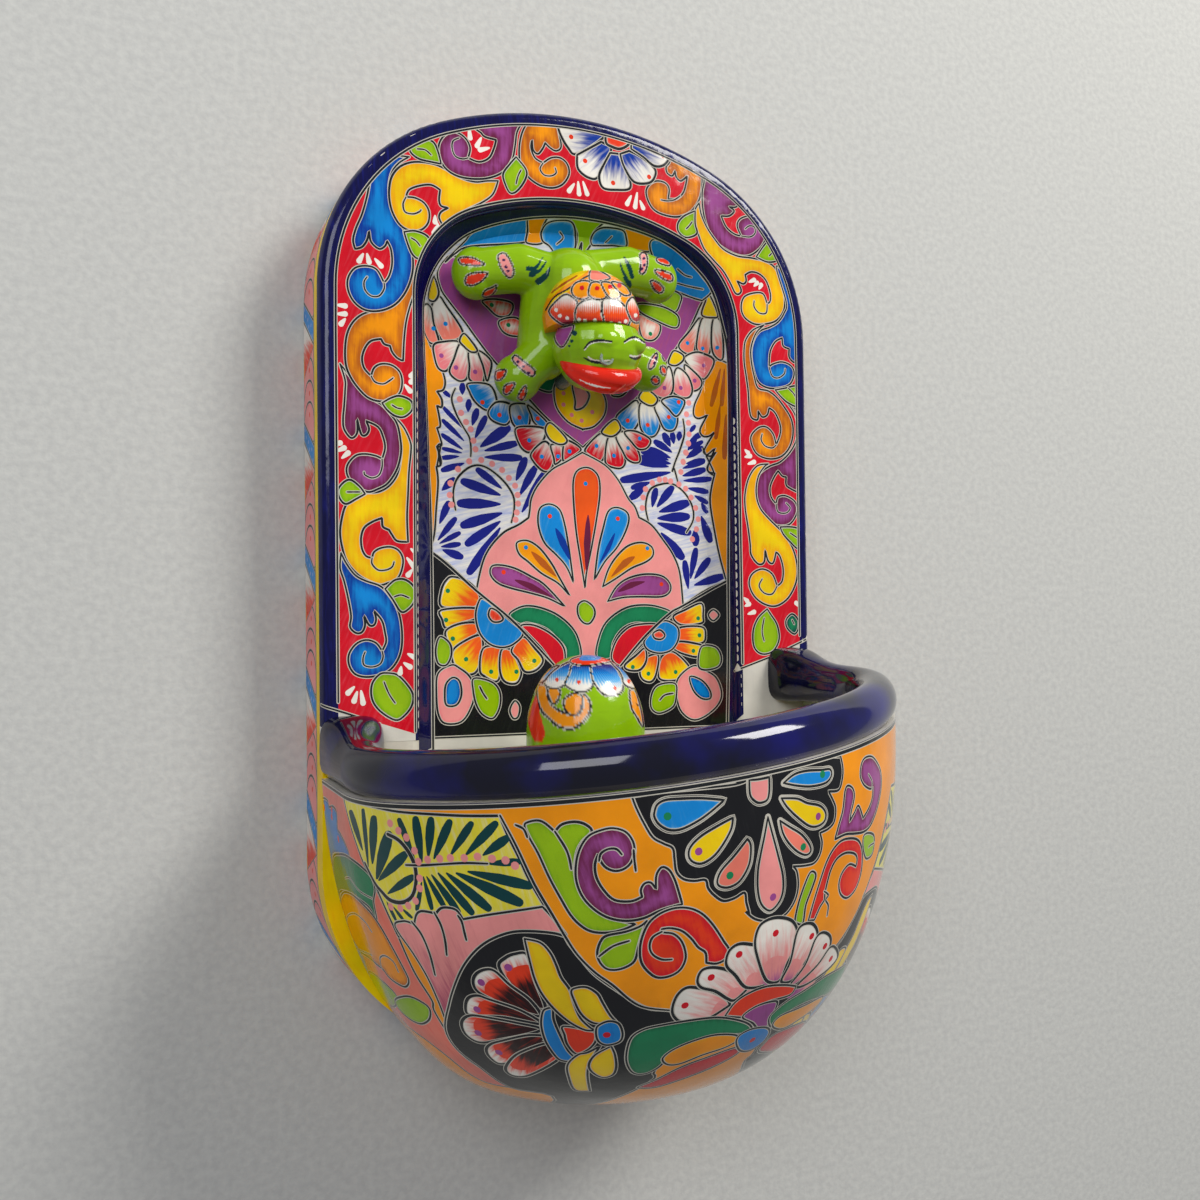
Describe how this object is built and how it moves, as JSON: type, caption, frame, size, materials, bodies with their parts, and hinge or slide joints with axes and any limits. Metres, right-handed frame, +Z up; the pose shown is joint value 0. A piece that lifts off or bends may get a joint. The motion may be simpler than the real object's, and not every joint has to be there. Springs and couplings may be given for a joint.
{
  "type": "garden wall fountain",
  "caption": "Wall fountain of painted earthenware: arched hollow back, niche with a clinging frog that spouts water, half-bowl basin with rolled rim, pump under a loose bell cover.",
  "frame": {"origin": "midway between the two hanging holes, on the wall plane", "axes": "+X to the viewer's right, +Y into the wall, so the front faces -Y, +Z up"},
  "size_m": [0.34, 0.24, 0.6029],
  "materials": {
    "glaze_front": "gloss",
    "glaze_niche": "gloss",
    "glaze_side": "gloss",
    "glaze_bowl": "gloss",
    "glaze_cobalt": "gloss",
    "glaze_frog": "gloss",
    "glaze_cap": "gloss",
    "glaze_lips": "gloss",
    "glaze_cover": "gloss",
    "bare_clay": "matt",
    "clear_vinyl": "gloss",
    "black_rubber": "matt",
    "pump_plastic": "satin",
    "pump_resin": "gloss",
    "core_steel": "satin",
    "copper_wire": "satin",
    "ferrite": "matt",
    "impeller_plastic": "satin",
    "shaft_ceramic": "polished",
    "gate_plastic": "satin"
  },
  "bodies": {
    "fountain": {"arch_front": "glaze_front", "niche_pan": "glaze_niche", "side_band": "glaze_side", "hanging_bar": "bare_clay", "basin_bowl": "glaze_bowl", "basin_rim": "glaze_cobalt", "frog_body": "glaze_frog", "frog_head": "glaze_frog", "frog_cap": "glaze_cap", "frog_lips": "glaze_lips", "supply_tube": "clear_vinyl", "tube_grommet": "black_rubber", "cord_grommet": "black_rubber", "pump_housing": "pump_plastic", "stator_core": "core_steel", "stator_coil": "copper_wire", "pump_base_plate": "pump_resin", "suction_feet": "black_rubber", "rotor_shaft": "shaft_ceramic", "rear_bush": "black_rubber", "front_bush": "black_rubber", "volute_plate": "pump_plastic", "intake_hood": "pump_plastic", "cord_gland": "black_rubber"},
    "pump_cover": {"pump_cover": "glaze_cover"},
    "rotor": {"rotor_magnet": "ferrite", "impeller": "impeller_plastic"},
    "flow_gate": {"flow_gate": "gate_plastic"}
  },
  "joints": [
    {"name": "cover_lift", "type": "slide", "parent": "fountain", "child": "pump_cover", "axis": [0, 0, 1], "range_m": [0, 0.15]},
    {"name": "rotor_spin", "type": "hinge", "parent": "fountain", "child": "rotor", "pos_m": [-0.0225, -0.09, -0.49], "axis": [0, 1, 0], "continuous": true},
    {"name": "flow_gate_slide", "type": "slide", "parent": "fountain", "child": "flow_gate", "axis": [0, 0, -1], "range_m": [0, 0.008]}
  ]
}
